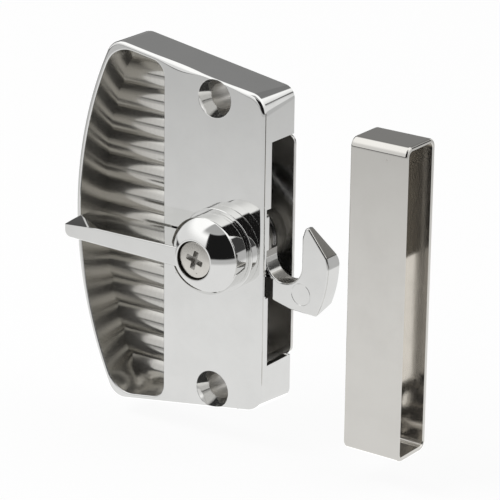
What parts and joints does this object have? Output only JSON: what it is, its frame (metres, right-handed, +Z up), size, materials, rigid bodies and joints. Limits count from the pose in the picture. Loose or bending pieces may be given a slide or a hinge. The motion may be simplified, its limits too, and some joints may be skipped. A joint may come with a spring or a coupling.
{
  "type": "sliding screen door latch",
  "caption": "Surface latch for a sliding screen door: cast body with a ribbed finger pull, a thumb lever that swings a hook out of its side, and a separate keeper box.",
  "frame": {"origin": "middle of the two mounting holes on the housing's back plane", "axes": "+X towards the jamb and keeper, +Y into the door along the mounting screws, +Z up along the line of the holes"},
  "size_m": [0.0989, 0.0254, 0.095],
  "materials": {
    "chrome_cast": "bright chrome plate on a zinc casting",
    "chrome_pressed": "bright chrome plate",
    "screw_steel": "plated steel screw, slightly worn",
    "washer_steel": "plain steel, oiled",
    "spring_steel": "drawn spring wire",
    "plate_steel": "zinc plated sheet steel",
    "rivet_steel": "upset rivet steel"
  },
  "bodies": {
    "housing_body": {"housing": "chrome_cast", "thrust_washer": "washer_steel", "wave_washer": "spring_steel", "detent_spring": "spring_steel", "back_plate": "plate_steel", "plate_rivets": "rivet_steel", "keeper": "chrome_pressed"},
    "lever_body": {"thumb_lever": "chrome_cast", "lever_screw": "screw_steel", "lever_collar": "chrome_cast", "hook": "chrome_cast"}
  },
  "joints": [
    {"name": "lever_turn", "type": "hinge", "parent": "housing_body", "child": "lever_body", "pos_m": [0.00325, -0.0064, 0.0006], "axis": [0, 1, 0], "range_deg": [0, 90]}
  ]
}
